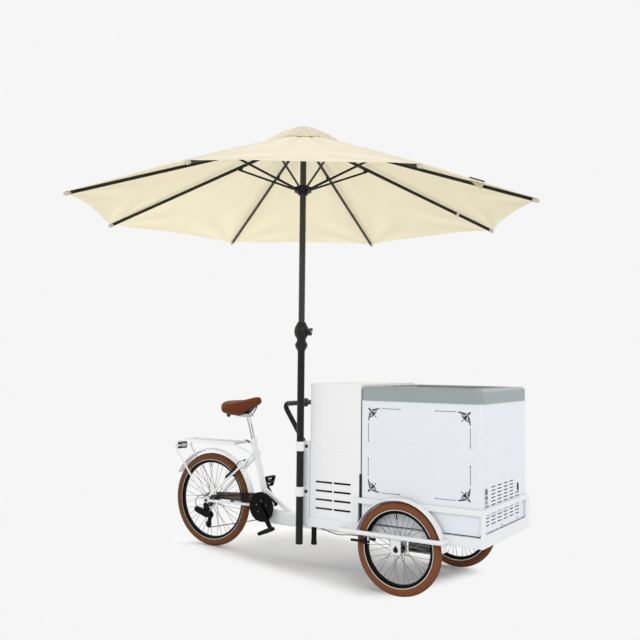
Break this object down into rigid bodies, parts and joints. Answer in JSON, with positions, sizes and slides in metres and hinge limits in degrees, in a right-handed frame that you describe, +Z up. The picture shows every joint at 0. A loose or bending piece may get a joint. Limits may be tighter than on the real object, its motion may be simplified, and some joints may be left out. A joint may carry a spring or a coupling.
{
  "type": "freezer cargo tricycle",
  "caption": "Front-loading cargo tricycle with a chest freezer, sliding glass lids, utility cabinet and a clamped folding parasol.",
  "frame": {"origin": "on the ground under the parasol's pole axis, which is the middle of the bounding box", "axes": "+X forward (the way the tricycle rides), +Y to its left, +Z up"},
  "size_m": [2.6538, 2.6538, 2.6319],
  "materials": {
    "white_paint": "gloss white powder coat",
    "black_paint": "satin black paint",
    "black_metal": "black anodised",
    "black_plastic": "matte moulded black",
    "chrome": "polished",
    "steel": "satin",
    "rim_metal": "dark rim with bright spokes",
    "tyre": "matte brown rubber",
    "saddle_cover": "satin brown cover",
    "freezer_panel": "gloss pale panel",
    "collar_plastic": "satin grey moulding",
    "liner_plastic": "smooth white liner",
    "lid_glass": "clear tempered glass",
    "canopy_cloth": "woven ivory cloth"
  },
  "bodies": {
    "rear_frame": {"main_frame": "white_paint", "seat_clamp": "black_plastic", "rear_rack": "white_paint", "tail_reflector": "black_plastic", "rear_mudguard": "white_paint", "chain_guard": "black_plastic", "chain": "steel", "rear_axle": "steel", "derailleur": "black_metal"},
    "seat": {"seat_post": "chrome", "saddle": "saddle_cover"},
    "cranks": {"crank_set": "black_metal"},
    "pedal_right": {"pedal_right": "black_plastic"},
    "pedal_left": {"pedal_left": "black_plastic"},
    "cassette": {"cassette": "steel"},
    "rear_wheel": {"rear_tyre": "tyre", "rear_wheel": "rim_metal"},
    "brake_arm_right": {"rear_brake_arm_right": "black_metal"},
    "brake_arm_left": {"rear_brake_arm_left": "black_metal"},
    "box": {"chassis_frame": "white_paint", "front_axles": "steel", "front_brakes": "black_metal", "freezer_body": "freezer_panel", "freezer_liner": "liner_plastic", "freezer_cap": "collar_plastic", "compressor": "black_metal", "cabinet_body": "white_paint", "power_pack": "black_plastic", "handlebar": "black_paint", "support_leg": "black_paint", "pole_clamps": "white_paint", "lower_pole": "black_paint"},
    "front_wheel_right": {"front_tyre_right": "tyre", "front_wheel_right": "rim_metal"},
    "front_wheel_left": {"front_tyre_left": "tyre", "front_wheel_left": "rim_metal"},
    "lid_front": {"lid_front": "lid_glass"},
    "lid_rear": {"lid_rear": "lid_glass"},
    "door": {"cabinet_door": "white_paint"},
    "lever": {"brake_lever": "black_metal"},
    "knob": {"pole_knob": "black_plastic"},
    "mast": {"upper_pole": "black_paint", "canopy": "canopy_cloth"},
    "runner": {"runner": "black_plastic"},
    "rib_1": {"rib_1": "black_paint"},
    "strut_1": {"strut_1": "black_paint"},
    "rib_2": {"rib_2": "black_paint"},
    "strut_2": {"strut_2": "black_paint"},
    "rib_3": {"rib_3": "black_paint"},
    "strut_3": {"strut_3": "black_paint"},
    "rib_4": {"rib_4": "black_paint"},
    "strut_4": {"strut_4": "black_paint"},
    "rib_5": {"rib_5": "black_paint"},
    "strut_5": {"strut_5": "black_paint"},
    "rib_6": {"rib_6": "black_paint"},
    "strut_6": {"strut_6": "black_paint"},
    "rib_7": {"rib_7": "black_paint"},
    "strut_7": {"strut_7": "black_paint"},
    "rib_8": {"rib_8": "black_paint"},
    "strut_8": {"strut_8": "black_paint"}
  },
  "joints": [
    {"name": "steer", "type": "hinge", "parent": "rear_frame", "child": "box", "pos_m": [0.446, 0.387, 0.29], "axis": [0, 0, 1], "range_deg": [-30, 30]},
    {"name": "front_wheel_right", "type": "hinge", "parent": "box", "child": "front_wheel_right", "pos_m": [0.646, -0.007, 0.25], "axis": [0, 1, 0], "continuous": true},
    {"name": "front_wheel_left", "type": "hinge", "parent": "box", "child": "front_wheel_left", "pos_m": [0.646, 0.781, 0.25], "axis": [0, 1, 0], "continuous": true},
    {"name": "rear_wheel", "type": "hinge", "parent": "rear_frame", "child": "rear_wheel", "pos_m": [-0.966, 0.387, 0.31], "axis": [0, 1, 0], "continuous": true},
    {"name": "crank", "type": "hinge", "parent": "rear_frame", "child": "cranks", "pos_m": [-0.506, 0.387, 0.312], "axis": [0, 1, 0], "continuous": true},
    {"name": "pedal_right", "type": "hinge", "parent": "cranks", "child": "pedal_right", "pos_m": [-0.41886, 0.2525, 0.17781], "axis": [0, 1, 0], "continuous": true},
    {"name": "pedal_left", "type": "hinge", "parent": "cranks", "child": "pedal_left", "pos_m": [-0.59314, 0.5215, 0.44619], "axis": [0, 1, 0], "continuous": true},
    {"name": "cassette", "type": "hinge", "parent": "rear_frame", "child": "cassette", "pos_m": [-0.966, 0.3414, 0.31], "axis": [0, 1, 0], "continuous": true},
    {"name": "seat_height", "type": "slide", "parent": "rear_frame", "child": "seat", "axis": [-0.284, 0, 0.9588], "range_m": [-0.12, 0.06]},
    {"name": "brake_lever", "type": "hinge", "parent": "box", "child": "lever", "pos_m": [-0.157, 0.297, 0.99], "axis": [0, 0, -1], "range_deg": [0, 12], "stiffness_Nm_per_rad": 1},
    {"name": "brake_arm_right", "type": "hinge", "parent": "rear_frame", "child": "brake_arm_right", "pos_m": [-0.80926, 0.33557, 0.47693], "axis": [-0.6617, 0, 0.7497], "range_deg": [0, 3.5]},
    {"name": "brake_arm_left", "type": "hinge", "parent": "rear_frame", "child": "brake_arm_left", "pos_m": [-0.80926, 0.43843, 0.47693], "axis": [0.6617, 0, -0.7497], "range_deg": [0, 3.5]},
    {"name": "lid_front", "type": "slide", "parent": "box", "child": "lid_front", "axis": [1, 0, 0], "range_m": [-0.25, 0]},
    {"name": "lid_rear", "type": "slide", "parent": "box", "child": "lid_rear", "axis": [1, 0, 0], "range_m": [0, 0.25]},
    {"name": "cabinet_door", "type": "hinge", "parent": "box", "child": "door", "pos_m": [0.048, 0.7385, 0.8015], "axis": [0, 0, 1], "range_deg": [0, 110]},
    {"name": "pole_knob", "type": "hinge", "parent": "box", "child": "knob", "pos_m": [0, 0, 1.4216], "axis": [0.9962, 0.0872, 0], "continuous": true},
    {"name": "pole_height", "type": "slide", "parent": "box", "child": "mast", "axis": [0, 0, 1], "range_m": [0, 0.25]},
    {"name": "umbrella_fold", "type": "hinge", "parent": "mast", "child": "rib_1", "pos_m": [0.03725, 0.00751, 2.54699], "axis": [-0.1977, 0.9803, 0], "range_deg": [0, 65.5], "deforming": ["canopy"]},
    {"name": "rib_2", "type": "hinge", "parent": "mast", "child": "rib_2", "pos_m": [0.02103, 0.03165, 2.54699], "axis": [-0.8329, 0.5534, 0], "range_deg": [0, 65.5]},
    {"name": "rib_3", "type": "hinge", "parent": "mast", "child": "rib_3", "pos_m": [-0.00751, 0.03725, 2.54699], "axis": [-0.9803, -0.1977, 0], "range_deg": [0, 65.5]},
    {"name": "rib_4", "type": "hinge", "parent": "mast", "child": "rib_4", "pos_m": [-0.03165, 0.02103, 2.54699], "axis": [-0.5534, -0.8329, 0], "range_deg": [0, 65.5]},
    {"name": "rib_5", "type": "hinge", "parent": "mast", "child": "rib_5", "pos_m": [-0.03725, -0.00751, 2.54699], "axis": [0.1977, -0.9803, 0], "range_deg": [0, 65.5]},
    {"name": "rib_6", "type": "hinge", "parent": "mast", "child": "rib_6", "pos_m": [-0.02103, -0.03165, 2.54699], "axis": [0.8329, -0.5534, 0], "range_deg": [0, 65.5]},
    {"name": "rib_7", "type": "hinge", "parent": "mast", "child": "rib_7", "pos_m": [0.00751, -0.03725, 2.54699], "axis": [0.9803, 0.1977, 0], "range_deg": [0, 65.5]},
    {"name": "rib_8", "type": "hinge", "parent": "mast", "child": "rib_8", "pos_m": [0.03165, -0.02103, 2.54699], "axis": [0.5534, 0.8329, 0], "range_deg": [0, 65.5]},
    {"name": "strut_1", "type": "hinge", "parent": "rib_1", "child": "strut_1", "pos_m": [0.4035, 0.08136, 2.403], "axis": [-0.1977, 0.9803, 0], "range_deg": [-130.61, 0]},
    {"name": "strut_2", "type": "hinge", "parent": "rib_2", "child": "strut_2", "pos_m": [0.22779, 0.34285, 2.403], "axis": [-0.8329, 0.5534, 0], "range_deg": [-130.61, 0]},
    {"name": "strut_3", "type": "hinge", "parent": "rib_3", "child": "strut_3", "pos_m": [-0.08136, 0.4035, 2.403], "axis": [-0.9803, -0.1977, 0], "range_deg": [-130.61, 0]},
    {"name": "strut_4", "type": "hinge", "parent": "rib_4", "child": "strut_4", "pos_m": [-0.34285, 0.22779, 2.403], "axis": [-0.5534, -0.8329, 0], "range_deg": [-130.61, 0]},
    {"name": "strut_5", "type": "hinge", "parent": "rib_5", "child": "strut_5", "pos_m": [-0.4035, -0.08136, 2.403], "axis": [0.1977, -0.9803, 0], "range_deg": [-130.61, 0]},
    {"name": "strut_6", "type": "hinge", "parent": "rib_6", "child": "strut_6", "pos_m": [-0.22779, -0.34285, 2.403], "axis": [0.8329, -0.5534, 0], "range_deg": [-130.61, 0]},
    {"name": "strut_7", "type": "hinge", "parent": "rib_7", "child": "strut_7", "pos_m": [0.08136, -0.4035, 2.403], "axis": [0.9803, 0.1977, 0], "range_deg": [-130.61, 0]},
    {"name": "strut_8", "type": "hinge", "parent": "rib_8", "child": "strut_8", "pos_m": [0.34285, -0.22779, 2.403], "axis": [0.5534, 0.8329, 0], "range_deg": [-130.61, 0]},
    {"name": "runner", "type": "slide", "parent": "mast", "child": "runner", "axis": [0, 0, -1], "range_m": [0, 0.5095]}
  ],
  "couplings": [
    {"joint": "cassette", "follows": "crank", "ratio": 2.7143},
    {"joint": "brake_arm_right", "follows": "brake_lever", "ratio": 0.29167},
    {"joint": "brake_arm_left", "follows": "brake_lever", "ratio": 0.29167},
    {"joint": "rib_2", "follows": "umbrella_fold", "ratio": 1},
    {"joint": "rib_3", "follows": "umbrella_fold", "ratio": 1},
    {"joint": "rib_4", "follows": "umbrella_fold", "ratio": 1},
    {"joint": "rib_5", "follows": "umbrella_fold", "ratio": 1},
    {"joint": "rib_6", "follows": "umbrella_fold", "ratio": 1},
    {"joint": "rib_7", "follows": "umbrella_fold", "ratio": 1},
    {"joint": "rib_8", "follows": "umbrella_fold", "ratio": 1},
    {"joint": "strut_1", "follows": "umbrella_fold", "ratio": -1.994},
    {"joint": "strut_2", "follows": "umbrella_fold", "ratio": -1.994},
    {"joint": "strut_3", "follows": "umbrella_fold", "ratio": -1.994},
    {"joint": "strut_4", "follows": "umbrella_fold", "ratio": -1.994},
    {"joint": "strut_5", "follows": "umbrella_fold", "ratio": -1.994},
    {"joint": "strut_6", "follows": "umbrella_fold", "ratio": -1.994},
    {"joint": "strut_7", "follows": "umbrella_fold", "ratio": -1.994},
    {"joint": "strut_8", "follows": "umbrella_fold", "ratio": -1.994},
    {"joint": "runner", "follows": "umbrella_fold", "m_per_rad": 0.44567}
  ]
}
